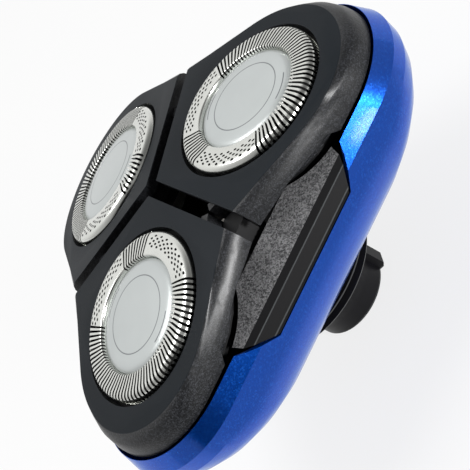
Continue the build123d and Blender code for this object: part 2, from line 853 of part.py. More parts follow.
# Side plate: fills a notch, follows both lobes and stands on the hinge carrier's tab
side_plan = Plane((0, 0, notch_bottom), x_dir=side_plane(0).z_dir, z_dir=(0, 0, 1))
plate_outer = plate_low_reach + overcut
with BuildPart() as collar_room:
    with BuildSketch(Plane.XY.offset(notch_bottom)):
        with Locations((cap_spacing, 0)):
            Circle(collar_outer + lobe_clearance)
    extrude(amount=plate_top + overcut - notch_bottom)
with BuildPart() as side_plate:
    with BuildSketch(side_plane(plate_inner)):
        with BuildLine():
            notch_outline(side_gap, plate_top)
        make_face()
    extrude(amount=plate_outer - plate_inner)
    with BuildSketch(side_plan):
        with BuildLine():
            Polyline(
                (plate_inner, -plate_top_half),
                (plate_end_reach, -notch_top_half),
                (plate_outer, -notch_top_half),
                (plate_outer, notch_top_half),
                (plate_end_reach, notch_top_half),
                (plate_inner, plate_top_half),
                close=True,
            )
        make_face()
    extrude(amount=plate_top - notch_bottom, mode=Mode.INTERSECT)
    with BuildSketch(side_section):
        with BuildLine():
            Polyline(
                (plate_inner, plate_top),
                (plate_face_reach, plate_face_height),
                (plate_step_reach, plate_step_height),
                (plate_low_reach, plate_low_height),
                (plate_low_reach, notch_bottom + side_gap),
                (plate_inner, notch_bottom + side_gap),
                close=True,
            )
        make_face()
    extrude(amount=notch_top_half, both=True, mode=Mode.INTERSECT)
    add(collar_room.part, mode=Mode.SUBTRACT)
    add(collar_room.part.rotate(Axis.Z, lobe_step), mode=Mode.SUBTRACT)
    with BuildSketch(side_section):
        with Locations((plate_inner + leg_thickness / 2, (carrier_top + plate_low_height) / 2)):
            Rectangle(leg_thickness, plate_low_height - carrier_top)
    extrude(amount=tab_width / 2 - side_gap, both=True)
save_three(side_plate.part, "side_plate")


def on_sphere(radius, angle):
    """Point of the tilting neck's section, angle degrees up from straight down."""
    turn = radians(angle)
    return (radius * sin(turn), tilt_height - radius * cos(turn))


def angle_at(radius, height):
    return degrees(acos((tilt_height - height) / radius))


def sphere_zone(radius, first, last):
    """Draw a zone of the sphere as two flat steps."""
    Polyline(
        on_sphere(radius, first),
        on_sphere(radius, (first + last) / 2),
        on_sphere(radius, last),
    )


# Skirt ring: largest step of the neck, its flange clamped between shell bosses and pan
skirt_inner = sphere_radius - sphere_wall
skirt_inner_end = angle_at(skirt_inner, flange_bottom)
skirt_outer_end = angle_at(sphere_radius, flange_bottom)
with BuildPart() as skirt_ring:
    with BuildSketch(Plane.XZ):
        with BuildLine():
            Polyline(
                on_sphere(skirt_inner, skirt_angle),
                on_sphere(skirt_inner, skirt_inner_end),
                (on_sphere(skirt_inner, skirt_inner_end)[0], pan_bottom),
                (skirt_flange_radius, pan_bottom),
                (skirt_flange_radius, flange_bottom),
                on_sphere(sphere_radius, skirt_outer_end),
            )
            sphere_zone(sphere_radius, skirt_outer_end, skirt_angle)
            Line(on_sphere(sphere_radius, skirt_angle), on_sphere(skirt_inner, skirt_angle))
        make_face()
    revolve()
    with BuildSketch(Plane.XY.offset(flange_bottom)):
        with PolarLocations(screw_distance, lobe_count, start_angle=half_step):
            screw_hole(running_gap)
    extrude(amount=skirt_flange, mode=Mode.SUBTRACT)
    with BuildSketch(Plane.XZ.offset(-sphere_radius - overcut)):
        with Locations((0, tilt_height)):
            RegularPolygon(tilt_pin_radius + running_gap, pin_sides, major_radius=False)
    extrude(amount=2 * sphere_radius + 2 * overcut, mode=Mode.SUBTRACT)
save(skirt_ring.part, "skirt_ring")

# Gimbal ring: middle step, hinged to the collar about X and to the skirt ring about Y
gimbal_outer = skirt_inner - sphere_gap
gimbal_inner = gimbal_outer - sphere_wall
gimbal_height = tilt_height + gimbal_top
with BuildPart() as gimbal_ring:
    with BuildSketch(Plane.XZ):
        with BuildLine():
            sphere_zone(gimbal_inner, gimbal_angle, angle_at(gimbal_inner, gimbal_height))
            Line(
                on_sphere(gimbal_inner, angle_at(gimbal_inner, gimbal_height)),
                on_sphere(gimbal_outer, angle_at(gimbal_outer, gimbal_height)),
            )
            sphere_zone(
                gimbal_outer,
                angle_at(gimbal_outer, gimbal_height),
                gimbal_angle + lip_angle,
            )
            Polyline(
                on_sphere(gimbal_outer, gimbal_angle + lip_angle),
                on_sphere(sphere_radius, gimbal_angle + lip_angle),
                on_sphere(sphere_radius, gimbal_angle),
                on_sphere(gimbal_inner, gimbal_angle),
            )
        make_face()
    revolve()
    for across in (Plane.XZ, Plane.YZ):
        with BuildSketch(across.offset(-sphere_radius)):
            with Locations((0, tilt_height)):
                RegularPolygon(tilt_pin_radius, pin_sides, major_radius=False)
        extrude(amount=2 * sphere_radius, mode=Mode.SUBTRACT)
save(gimbal_ring.part, "gimbal_ring")

# Tilt pins: two pairs pressed into the gimbal ring
with BuildPart() as tilt_pins_x:
    for side in (1, -1):
        with BuildSketch(Plane((side * collar_ear_inner, 0, tilt_height), z_dir=(side, 0, 0))):
            Circle(tilt_pin_radius - press_gap)
        extrude(amount=gimbal_outer - collar_ear_inner - running_gap)
save(tilt_pins_x.part, "tilt_pins_x")
with BuildPart() as tilt_pins_y:
    for side in (1, -1):
        with BuildSketch(Plane((0, side * (gimbal_inner + running_gap), tilt_height), z_dir=(0, side, 0))):
            Circle(tilt_pin_radius - press_gap)
        extrude(amount=sphere_radius - gimbal_inner - 2 * running_gap)
save(tilt_pins_y.part, "tilt_pins_y")

# Coupling collar: flared end with a bore and a key, smallest step ring and two ears
collar_outer_sphere = gimbal_inner - sphere_gap
collar_inner_sphere = collar_outer_sphere - sphere_wall
lip_low = on_sphere(sphere_radius, collar_angle)
key_root = (collar_bore + collar_end_radius) / 2
key_way = Vector(cos(radians(key_turn)), sin(radians(key_turn)), 0)
ear_sphere = sqrt(collar_outer_sphere**2 - ear_half_width**2) - side_gap / 2
ear_top = angle_at(ear_sphere, tilt_height + gimbal_top)
ear_low = (collar_angle + collar_zone_angle) / 2
collar_middle_sphere = (collar_outer_sphere + collar_inner_sphere) / 2
with BuildPart() as collar_ear:
    with BuildSketch(Plane.XZ):
        with BuildLine():
            Polyline(
                on_sphere(collar_middle_sphere, ear_low),
                on_sphere(ear_sphere, (ear_low + collar_zone_angle) / 2),
                on_sphere(ear_sphere, (collar_zone_angle + ear_top) / 2),
                on_sphere(ear_sphere, ear_top),
                (collar_ear_inner, tilt_height + gimbal_top),
                (collar_ear_inner, tilt_height - 2 * ear_half_width),
                close=True,
            )
        make_face()
    extrude(amount=ear_half_width, both=True)
with BuildPart() as coupling_collar:
    with BuildSketch(Plane.XZ):
        with BuildLine():
            Line((collar_bore, 0), (collar_end_radius, 0))
            Line((collar_end_radius, 0), (collar_end_radius, collar_straight))
            Polyline(
                (collar_end_radius, collar_straight),
                (collar_waist_radius, collar_waist_height),
                (collar_neck_radius, collar_neck_height),
                lip_low,
                on_sphere(sphere_radius, collar_angle + lip_angle),
                on_sphere(collar_outer_sphere, collar_angle + lip_angle),
            )
            sphere_zone(collar_outer_sphere, collar_angle + lip_angle, collar_zone_angle)
            Line(
                on_sphere(collar_outer_sphere, collar_zone_angle),
                on_sphere(collar_inner_sphere, collar_zone_angle),
            )
            Polyline(
                on_sphere(collar_inner_sphere, collar_zone_angle),
                on_sphere(collar_inner_sphere, collar_angle),
                (collar_neck_radius - collar_wall_inner, collar_neck_height + collar_wall_inner / 2),
                (collar_neck_radius - 2 * collar_wall_inner, collar_bore_length + collar_wall_inner / 2),
                (collar_bore, collar_bore_length),
                (collar_bore, 0),
            )
        make_face()
    revolve()
    with BuildSketch(Plane((0, 0, 0), x_dir=key_way, z_dir=(key_way.Y, -key_way.X, 0))):
        with BuildLine():
            Polyline(
                (key_root, 0),
                (key_reach - key_chamfer, 0),
                (key_reach, key_chamfer),
                (key_reach, key_length - key_chamfer),
                (key_reach - key_chamfer, key_length),
                (key_root, key_length),
                close=True,
            )
        make_face()
    extrude(amount=key_width / 2, both=True)
    add(collar_ear.part)
    add(collar_ear.part.rotate(Axis.Z, 180))
    with BuildSketch(Plane.YZ.offset(-sphere_radius)):
        with Locations((0, tilt_height)):
            RegularPolygon(tilt_pin_radius + running_gap, pin_sides, major_radius=False)
    extrude(amount=2 * sphere_radius, mode=Mode.SUBTRACT)
save(coupling_collar.part, "coupling_collar")
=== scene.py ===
"""Looks of a rotary shaver head, built round its packed construction.

Lengths are in metres. The neck stands on the floor, the cutting faces look up.
"""
import json
from math import atan2, cos, floor, hypot, log, pi, radians, sin, tan

import bmesh
import bpy
from mathutils import Matrix, Vector


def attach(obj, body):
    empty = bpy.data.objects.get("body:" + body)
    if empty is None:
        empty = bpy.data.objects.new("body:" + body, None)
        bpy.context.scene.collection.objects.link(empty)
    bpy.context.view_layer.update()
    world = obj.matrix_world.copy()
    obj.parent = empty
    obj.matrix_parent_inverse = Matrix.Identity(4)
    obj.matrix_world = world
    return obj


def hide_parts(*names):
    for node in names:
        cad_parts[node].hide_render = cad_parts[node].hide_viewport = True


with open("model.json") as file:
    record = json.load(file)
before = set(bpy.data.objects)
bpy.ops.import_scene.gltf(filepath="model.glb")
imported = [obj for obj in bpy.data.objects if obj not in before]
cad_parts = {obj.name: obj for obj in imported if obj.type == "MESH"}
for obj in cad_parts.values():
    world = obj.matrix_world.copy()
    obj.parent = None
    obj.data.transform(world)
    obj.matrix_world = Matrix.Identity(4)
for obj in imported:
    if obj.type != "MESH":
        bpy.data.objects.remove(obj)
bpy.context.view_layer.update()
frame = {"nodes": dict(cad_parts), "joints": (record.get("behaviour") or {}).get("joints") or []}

MM = 0.001
LOBES = 3
NODES = frame["nodes"]
JOINTS = {joint["name"]: joint for joint in frame["joints"]}


# Shader maths
class Value:
    """A socket of a finish, so that shader maths reads as plain maths."""

    def __init__(self, finish, socket):
        self.finish = finish
        self.socket = socket

    def maths(self, operation, *others):
        return self.finish.node("ShaderNodeMath", {"operation": operation}, dict(enumerate((self, *others))))

    def __add__(self, other):
        return self.maths("ADD", other)

    __radd__ = __add__

    def __mul__(self, other):
        return self.maths("MULTIPLY", other)

    __rmul__ = __mul__

    def __sub__(self, other):
        return self.maths("SUBTRACT", other)

    def __rsub__(self, other):
        return self * -1 + other

    def __truediv__(self, other):
        return self.maths("DIVIDE", other)

    def __abs__(self):
        return self.maths("ABSOLUTE")

    def above(self, edge, soft):
        """Nought below edge, one above it, with a ramp of the width soft between them."""
        settings = {"clamp": True, "interpolation_type": "SMOOTHSTEP"}
        levels = {"Value": self, "From Min": edge - soft / 2, "From Max": edge + soft / 2}
        return self.finish.node("ShaderNodeMapRange", settings, levels)


class Finish:
    """The nodes of a procedural material on Object coordinates, or of the world."""

    def __init__(self, name, owners=bpy.data.materials):
        self.owner = owners.new(name)
        self.owner.use_nodes = True
        self.tree = self.owner.node_tree
        self.tree.nodes.clear()

    def node(self, kind, settings=None, values=None, output=0):
        """Add a node with its settings, then give its sockets their values or links."""
        node = self.tree.nodes.new(kind)
        for key, setting in (settings or {}).items():
            setattr(node, key, setting)
        for key, value in (values or {}).items():
            if isinstance(value, Value):
                self.tree.links.new(value.socket, node.inputs[key])
            else:
                node.inputs[key].default_value = value
        return Value(self, node.outputs[output]) if node.outputs else None

    def place(self):
        return self.node("ShaderNodeTexCoord", output="Object")

    def noise(self, size, detail=2.0, roughness=0.5):
        """Noise whose grains are about size across."""
        values = {"Vector": self.place(), "Scale": 1 / size, "Detail": detail, "Roughness": roughness}
        return self.node("ShaderNodeTexNoise", values=values)

    def cells(self, size, output):
        """The Distance or the random Color of many small cells, about size across."""
        values = {"Vector": self.place(), "Scale": 1 / size}
        return self.node("ShaderNodeTexVoronoi", values=values, output=output)

    def speckle(self, size):
        """A random level for each of many small cells."""
        return self.along(self.cells(size, "Color"), (1, 0, 0))

    def measure(self, operation, *places):
        """The length, the distance or the dot product of places, as a number."""
        settings = {"operation": operation}
        return self.node("ShaderNodeVectorMath", settings, dict(enumerate(places)), output="Value")

    def along(self, place, direction):
        """Distance of a place along a direction."""
        return self.measure("DOT_PRODUCT", place, tuple(direction))

    def blend(self, share, first, second):
        """Colour between first and second."""
        first = first if isinstance(first, Value) else (*first, 1)
        second = second if isinstance(second, Value) else (*second, 1)
        return self.node("ShaderNodeMix", {"data_type": "RGBA"}, {0: share, 6: first, 7: second}, output=2)

    def bump(self, height, distance, strength):
        values = {"Height": height, "Distance": distance, "Strength": strength}
        return self.node("ShaderNodeBump", values=values)

    def surface(self, **values):
        """Finish the material with one Principled surface."""
        sockets = {key.replace("_", " "): value for key, value in values.items()}
        for key, value in sockets.items():
            if isinstance(value, tuple) and len(value) == 3:
                sockets[key] = (*value, 1)
        shader = self.node("ShaderNodeBsdfPrincipled", values=sockets)
        self.node("ShaderNodeOutputMaterial", values={"Surface": shader})
        return self.owner


# Finishes
FLAKE_SIZE = 0.16 * MM
SHOULDER_START = -0.06 * MM
SIDE_STEP = 120
BAND_START = 21.97 * MM
# Heights of the band edges that carry the painted highlights.
UPPER_HIGHLIGHT_HEIGHT = 25.42 * MM
LOWER_HIGHLIGHT_HEIGHT = 23.72 * MM
SKIRT_RIMS = (12.0 * MM,)
GIMBAL_RIMS = (9.95 * MM,)
COLLAR_RIMS = (0.1 * MM, 7.6 * MM)
RING_RADIUS = 4.80 * MM
ARC_RADIUS = 6.00 * MM
ARC_TURNS = (-35, 14, 62)
ARC_HALF = radians(18.5)


def face_place(finish, index):
    """A place, counted from the centre of a lobe's face."""
    places = {0: finish.place(), 1: tuple(face_centre(index))}
    return finish.node("ShaderNodeVectorMath", {"operation": "SUBTRACT"}, places)


def face_height(finish, index):
    """Height of a place over a lobe's face."""
    return finish.along(face_place(finish, index), face_normal(index))


def face_radius(finish, index):
    """Distance of a place from the axis of a lobe's face."""
    away = finish.measure("LENGTH", face_place(finish, index))
    height = face_height(finish, index)
    return (away * away - height * height).maths("SQRT")


def thin_line(offset, half_width, soft):
    """One where the offset from a line is under its half width, and nought beyond."""
    return 1 - abs(offset).above(half_width, soft)


def blue_paint():
    paint = Finish("blue_metallic_paint")
    flakes = paint.cells(FLAKE_SIZE, "Distance")
    sparkle = paint.along(paint.cells(FLAKE_SIZE, "Color"), (0.33, 0.33, 0.33))
    drift = paint.noise(9 * MM)
    deep = paint.blend(sparkle * 0.4 + drift * 0.6, (0.001, 0.050, 0.38), (0.003, 0.085, 0.50))
    return paint.surface(
        Base_Color=paint.blend(sparkle.above(0.68, 0.10) * 0.22, deep, (0.030, 0.20, 0.80)),
        Metallic=0.85,
        Specular_Tint=(0.35, 0.55, 1.0),
        Roughness=0.18 + sparkle * 0.10,
        Coat_Weight=0.5,
        Coat_Roughness=0.06,
        Normal=paint.bump(flakes, 0.003 * MM, 0.3),
    )


def lobe_plastic(index):
    """Smooth black on the flat face, dark grain on the shoulder below it."""
    plastic = Finish(f"lobe_plastic_{index}")
    shoulder = 1 - face_height(plastic, index).above(SHOULDER_START, 0.05 * MM)
    fine = plastic.noise(0.10 * MM, 3)
    coarse = plastic.noise(0.22 * MM, 3, 0.65)
    clouds = plastic.noise(6 * MM)
    flat_colour = plastic.blend(clouds, (0.006, 0.009, 0.012), (0.010, 0.013, 0.017))
    grit = plastic.speckle(0.13 * MM) * 0.6 + coarse * 0.6
    grain_colour = plastic.blend(grit.above(0.78, 0.6), (0.003, 0.0035, 0.0045), (0.034, 0.036, 0.042))
    return plastic.surface(
        Specular_IOR_Level=0.12,
        Base_Color=plastic.blend(shoulder, flat_colour, grain_colour),
        Roughness=0.48 - shoulder * 0.04 + fine * 0.08,
        Coat_Weight=shoulder * 0.6,
        Coat_Roughness=0.36,
        Normal=plastic.bump(fine * 0.1 + coarse * shoulder, 0.14 * MM, 0.9),
    )


def side_plastic(index):
    """Coarse grain on the sloping face, smooth black bands below it, with painted highlights as thin light
    strips along the band edges.
    """
    plastic = Finish(f"side_plastic_{index}")
    place = plastic.place()
    turn = radians(SIDE_STEP * (index + 0.5))
    reach = plastic.along(place, (cos(turn), sin(turn), 0))
    height = plastic.along(place, (0, 0, 1))
    smooth = reach.above(BAND_START, 0.05 * MM)
    # Painted highlights: thin lighter strips in the base colour along the band edges, where a bevel would
    # catch the light.
    upper_highlight = thin_line(height - UPPER_HIGHLIGHT_HEIGHT, 0.07 * MM, 0.05 * MM)
    lower_highlight = thin_line(height - LOWER_HIGHLIGHT_HEIGHT, 0.09 * MM, 0.06 * MM)
    painted_highlights = upper_highlight.maths("MAXIMUM", lower_highlight) * smooth
    coarse = plastic.noise(0.22 * MM, 4, 0.7)
    patches = plastic.noise(1.6 * MM, 2)
    fine = plastic.noise(0.11 * MM, 3)
    grit = plastic.speckle(0.15 * MM) * 0.5 + coarse * 0.5 + patches * 0.3
    grain = plastic.blend(grit.above(0.66, 0.7), (0.030, 0.030, 0.032), (0.21, 0.21, 0.215))
    band = plastic.blend(painted_highlights, (0.003, 0.003, 0.0035), (0.040, 0.043, 0.045))
    return plastic.surface(
        Specular_IOR_Level=0.10,
        Base_Color=plastic.blend(smooth, grain, band),
        Roughness=0.42 + smooth * 0.06 + fine * 0.12,
        Normal=plastic.bump((coarse * 0.9 + fine * 0.2) * (1 - smooth), 0.12 * MM, 0.8),
    )


def neck_plastic(name, highlight_heights):
    """Plain black plastic with painted highlights: thin lighter strips round each rim, at the given heights.
    """
    plastic = Finish(name)
    height = plastic.along(plastic.place(), (0, 0, 1))
    fine = plastic.noise(0.15 * MM, 3)
    # Painted highlights: the strips round each rim are lighter in base colour, where the rim would catch the
    # light.
    rim_highlights = height * 0
    for level in highlight_heights:
        rim_highlights = rim_highlights.maths("MAXIMUM", thin_line(height - level, 0.12 * MM, 0.08 * MM))
    return plastic.surface(
        Specular_IOR_Level=0.12,
        Base_Color=plastic.blend(rim_highlights, (0.004, 0.004, 0.005), (0.034, 0.036, 0.036)),
        Roughness=0.36 + fine * 0.1,
        Normal=plastic.bump(fine, 0.008 * MM, 0.6),
    )


def plain_plastic(name, colour, roughness):
    plastic = Finish(name)
    fine = plastic.noise(0.15 * MM, 3)
    clouds = plastic.noise(5 * MM)
    lighter = tuple(channel * 1.3 for channel in colour)
    return plastic.surface(
        Specular_IOR_Level=0.3,
        Base_Color=plastic.blend(clouds, colour, lighter),
        Roughness=roughness + fine * 0.1,
        Normal=plastic.bump(fine, 0.008 * MM, 0.6),
    )


def cap_steel(index):
    """Polished steel, with painted shade below the slots, where the side and flange sink into the dark gap
    round the cap.
    """
    steel = Finish(f"cap_steel_{index}")
    streaks = steel.noise(0.25 * MM, 3)
    clouds = steel.noise(3 * MM)
    bright = steel.blend(clouds, (0.72, 0.73, 0.69), (0.83, 0.84, 0.80))
    below_slots = 1 - face_height(steel, index).above(SLOT_LOWEST, 0.3 * MM)
    # Painted shade: the side and flange below the slots get a near black colour, standing in for the shade
    # of the gap round the cap.
    painted_shade = below_slots * face_radius(steel, index).above(PAINTED_SHADE_START, 0.2 * MM)
    return steel.surface(
        Base_Color=steel.blend(painted_shade, bright, (0.012, 0.012, 0.012)),
        Metallic=1.0,
        Roughness=0.14 + streaks * 0.12 + painted_shade * 0.3,
        Normal=steel.bump(streaks, 0.003 * MM, 0.5),
    )


def plain_steel(name, dark, light):
    steel = Finish(name)
    streaks = steel.noise(0.2 * MM, 2)
    return steel.surface(
        Base_Color=steel.blend(streaks, dark, light),
        Metallic=1.0,
        Roughness=0.3 + streaks * 0.15,
    )


def disc_print(index):
    """Pale metallic disc with a thin printed ring and, outside it, two short arcs."""
    disc = Finish(f"pale_disc_{index}")
    radius = face_radius(disc, index)
    ring = thin_line(radius - RING_RADIUS, 0.07 * MM, 0.05 * MM)
    arc_turn = radians(ARC_TURNS[index])
    arc_way = face_matrix(index).to_3x3() @ Vector((cos(arc_turn), sin(arc_turn), 0))
    arc_share = abs(disc.along(face_place(disc, index), arc_way)) / radius
    arcs = thin_line(radius - ARC_RADIUS, 0.08 * MM, 0.05 * MM) * arc_share.above(cos(ARC_HALF), 0.01)
    fine = disc.noise(0.2 * MM, 3)
    pale = disc.blend(disc.noise(4 * MM), (0.50, 0.53, 0.525), (0.56, 0.59, 0.585))
    print_share = (ring * 0.85).maths("MAXIMUM", arcs * 0.9)
    return disc.surface(
        Base_Color=disc.blend(print_share, pale, (0.13, 0.14, 0.15)),
        Metallic=0.35,
        Roughness=0.26 + fine * 0.08,
        Normal=disc.bump(fine, 0.003 * MM, 0.5),
    )


# Places on the lobes
def face_centre(index):
    return Vector(JOINTS[f"cutter_{index}_spin"]["pos_m"])


def face_normal(index):
    return Vector(JOINTS[f"cutter_{index}_spin"]["axis"]).normalized()


def face_matrix(index):
    """Turn and shift from a face's own axes, X outwards along the slope, to the part's."""
    normal = face_normal(index)
    side = Vector((0, 0, 1)).cross(face_centre(index)).normalized()
    outward = side.cross(normal)
    turn = Matrix((outward, side, normal)).transposed().to_4x4()
    return Matrix.Translation(face_centre(index)) @ turn


# Meshes
MERGE_GAP = 0.002 * MM
SEAM_GAP = 0.0005 * MM
FLAT_TURN = radians(0.5)


def make_piece(name, mesh_builder, body, finish, node):
    """Turn a bmesh into a piece that rides on a body and stands for a node."""
    mesh = bpy.data.meshes.new(name)
    mesh_builder.to_mesh(mesh)
    mesh_builder.free()
    piece = bpy.data.objects.new(name, mesh)
    bpy.context.scene.collection.objects.link(piece)
    mesh.materials.append(finish)
    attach(piece, body)
    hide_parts(node)
    return piece


def shade(builder, sharp_angle):
    """Shade smooth between edges that turn more than sharp_angle degrees."""
    for face in builder.faces:
        face.smooth = True
    for edge in builder.edges:
        edge.smooth = len(edge.link_faces) == 2 and edge.calc_face_angle() < radians(sharp_angle)


def joined_copy(node):
    """Copy a node's loose triangles into one joined mesh with flat faces made whole."""
    builder = bmesh.new()
    builder.from_mesh(NODES[node].data)
    bmesh.ops.remove_doubles(builder, verts=builder.verts, dist=MERGE_GAP)
    bmesh.ops.dissolve_limit(builder, angle_limit=FLAT_TURN, verts=builder.verts, edges=builder.edges)
    return builder


def smooth_piece(node, body, finish, sharp_angle=32):
    """Put a smooth-shaded copy in a node's place."""
    builder = joined_copy(node)
    shade(builder, sharp_angle)
    make_piece(f"{node}_skin", builder, body, finish, node)


def arc_points(centre, radius, first, last, steps):
    """Points of an arc in a section, as pairs of radius and height. Angles are in degrees."""
    points = []
    for step in range(steps + 1):
        angle = radians(first + (last - first) * step / steps)
        points.append((centre[0] + radius * cos(angle), centre[1] + radius * sin(angle)))
    return points


def spun(profile, steps):
    """Spin a section of radius and height pairs round Z."""
    builder = bmesh.new()
    verts = [builder.verts.new((radius, 0, height)) for radius, height in profile]
    edges = [builder.edges.new(pair) for pair in zip(verts, verts[1:])]
    bmesh.ops.spin(
        builder,
        geom=verts + edges,
        cent=(0, 0, 0),
        axis=(0, 0, 1),
        angle=2 * pi,
        steps=steps,
        use_merge=True,
    )
    bmesh.ops.remove_doubles(builder, verts=builder.verts, dist=SEAM_GAP)
    return builder


# Slotted caps
CAP_STEPS = 188
CAP_RADIUS = 10.32 * MM
CAP_TOP = 0.7 * MM
CAP_EDGE = 0.9 * MM
CAP_EDGE_START = 65
CAP_SIDE = 1.75 * MM
CAP_FLANGE = 11.15 * MM
CAP_SHEET = 0.08 * MM
CAP_TURN = radians(6)
TRACK_INNER = 7.10 * MM
TRACK_FOOT = -0.15 * MM
TRACK_BEND = (7.20 * MM, 0.2 * MM)
TRACK_WALL = 7.24 * MM
TRACK_LIP = 0.18 * MM
# Radius beyond which the painted shade on the cap's side begins.
PAINTED_SHADE_START = TRACK_INNER + 1 * MM
SLOT_INNER = 7.215 * MM
SLOT_LOWEST = -1.1 * MM
SHORT_SLOT_OUTER = 10.25 * MM
SLOT_SLANT = 13
LONG_SLOTS = 104
SHORT_SLOTS = 18
HOLE_ROWS = (8.12 * MM, 8.455 * MM, 8.79 * MM, 9.12 * MM, 9.42 * MM, 9.8 * MM)
HOLE_HALF_WIDTH = 0.25 * MM
HOLE_HALF_HEIGHT = 0.158 * MM
HOLE_INSET = 0.02 * MM


def cap_section():
    """Radius and height pairs, from the groove round the disc to the flange."""
    groove = [(TRACK_INNER, TRACK_FOOT), TRACK_BEND]
    inner_lip = arc_points((TRACK_WALL + TRACK_LIP, CAP_TOP - TRACK_LIP), TRACK_LIP, 180, 90, 3)
    flat = [(radius, CAP_TOP) for radius in HOLE_ROWS[:-1]]
    edge_centre = (CAP_RADIUS - CAP_EDGE, CAP_TOP - CAP_EDGE)
    outer_edge = arc_points(edge_centre, CAP_EDGE, CAP_EDGE_START, 0, 5)
    side = [(CAP_RADIUS, SLOT_LOWEST), (CAP_RADIUS, -CAP_SIDE), (CAP_FLANGE, -CAP_SIDE)]
    return groove + inner_lip + flat + outer_edge + side


def cap_division(face):
    """Number of the division that a face lies in, counted round from the X axis, and its centre."""
    centre = face.calc_center_median()
    return floor(atan2(centre.y, centre.x) * CAP_STEPS / (2 * pi)), centre


def cap_openings(builder):
    """Faces of the slots, and for each small hole the two faces that it is cut from."""
    slots = []
    hole_cells = {}
    half_turn = CAP_STEPS // 2
    for face in builder.faces:
        division, centre = cap_division(face)
        radius = hypot(centre.x, centre.y)
        if radius < SLOT_INNER or centre.z < SLOT_LOWEST:
            continue
        from_back = (division + half_turn) % CAP_STEPS
        from_back = min(from_back, CAP_STEPS - 1 - from_back)
        if abs(division + 0.5) < LONG_SLOTS / 2:
            if division % 2 == 0:
                slots.append(face)
        elif from_back < SHORT_SLOTS / 2:
            if division % 2 == 0 and radius < SHORT_SLOT_OUTER:
                slots.append(face)
        elif HOLE_ROWS[0] < radius < HOLE_ROWS[-1]:
            row = sum(radius > edge for edge in HOLE_ROWS) - 1
            column = division // 2
            if (row + column) % 2 == 0:
                hole_cells.setdefault((row, column), []).append(face)
    return slots, [cell for cell in hole_cells.values() if len(cell) == 2]


def open_holes(builder, hole_cells):
    """Cut a small oval hole out of each pair of faces."""
    merged = []
    for cell in hole_cells:
        merged += bmesh.ops.dissolve_faces(builder, faces=cell)["region"]
    bmesh.ops.inset_individual(builder, faces=merged, thickness=HOLE_INSET)
    for face in merged:
        centre = face.calc_center_median()
        outward = Vector((centre.x, centre.y, 0)).normalized()
        for vert in face.verts:
            way = (vert.co - centre).normalized()
            rise = outward * way.dot(outward)
            vert.co = centre + rise * HOLE_HALF_HEIGHT + (way - rise) * HOLE_HALF_WIDTH
    bmesh.ops.delete(builder, geom=merged, context="FACES")


def slant_slots(builder):
    """Turn each point by its radius, so that a slot keeps the same slant all along."""
    middle = (SLOT_INNER + CAP_RADIUS) / 2
    for vert in builder.verts:
        radius = hypot(vert.co.x, vert.co.y)
        reach = min(max(radius, SLOT_INNER), CAP_RADIUS)
        slant = tan(radians(SLOT_SLANT)) * log(middle / reach)
        vert.co = Matrix.Rotation(slant + CAP_TURN, 3, "Z") @ vert.co


def slotted_cap(index, finish):
    builder = spun(cap_section(), CAP_STEPS)
    bmesh.ops.recalc_face_normals(builder, faces=builder.faces)
    slots, hole_cells = cap_openings(builder)
    bmesh.ops.delete(builder, geom=slots, context="FACES")
    open_holes(builder, hole_cells)
    slant_slots(builder)
    shade(builder, 40)
    bmesh.ops.transform(builder, matrix=face_matrix(index), verts=builder.verts)
    piece = make_piece(f"slotted_cap_{index}", builder, f"cap_{index}", finish, f"guard_cap_{index}")
    solidify = piece.modifiers.new("sheet", "SOLIDIFY")
    solidify.thickness = CAP_SHEET
    solidify.offset = -1


# Domed discs, whose section is pairs of radius and height in millimetres
DISC_STEPS = 96
DISC_EDGE = ((7.04, -0.05), (7.04, 0.08), (6.95, 0.20), (6.75, 0.34), (6.5, 0.45), (6.2, 0.52))
DISC_DOME = ((5.6, 0.58), (4.2, 0.65), (2.2, 0.69), (0, 0.70))


def domed_disc(index, finish):
    section = [(radius * MM, height * MM) for radius, height in DISC_EDGE + DISC_DOME]
    builder = spun(section, DISC_STEPS)
    rim = [edge for edge in builder.edges if edge.is_boundary]
    bmesh.ops.holes_fill(builder, edges=rim, sides=0)
    bmesh.ops.recalc_face_normals(builder, faces=builder.faces)
    shade(builder, 45)
    bmesh.ops.transform(builder, matrix=face_matrix(index), verts=builder.verts)
    make_piece(f"domed_disc_{index}", builder, f"cap_{index}", finish, f"cap_disc_{index}")


# Stage
VIEW_RIGHT = Vector((0.62166, -0.19098, -0.75965))
VIEW_UP = Vector((0.67642, 0.61991, 0.39770))
VIEW_BACK = Vector((0.39497, -0.76107, 0.51456))
CAMERA_PLACE = Vector((0.060966, -0.118215, 0.100309))
HEAD_MIDDLE = Vector((0, 0, 0.02))
KEY_WAY = Vector((0.715, -0.69, 0.07))
TOP_WAY = Vector((-0.2, 0.1, 0.95))
WHITE = (1, 1, 1, 1)
FLOOR_SIZE = 1.5
FLOOR_PALE = (0.86, 0.86, 0.86, 1)
WALL_WAY = (0.03, -1.0, 0.0)
FRONT_WAY = (0.46, -0.89, 0.0)
BACK_WAY = (-0.35, 0.80, 0.48)
CORNER_WAY = (0.78, 0.25, 0.57)
FLOOR_FRONT_WAY = (0.5, -0.86, 0)
FLOOR_FRONT_START = 27 * MM
FLOOR_WALL_START = 110 * MM
GLINT_PLACE = (146 * MM, -148 * MM, 0)
GLINT_RADIUS = 9 * MM
GLINT_LEVEL = 25


def lamp(name, way, reach, size, power):
    """A round lamp, about reach from the head's middle, that shines at it."""
    place = HEAD_MIDDLE + way * reach
    light = bpy.data.lights.new(name, "AREA")
    light.shape = "DISK"
    light.size = size
    light.energy = power
    lamp_object = bpy.data.objects.new(name, light)
    lamp_object.location = place
    lamp_object.rotation_euler = (HEAD_MIDDLE - place).to_track_quat("-Z", "Y").to_euler()
    bpy.context.scene.collection.objects.link(lamp_object)


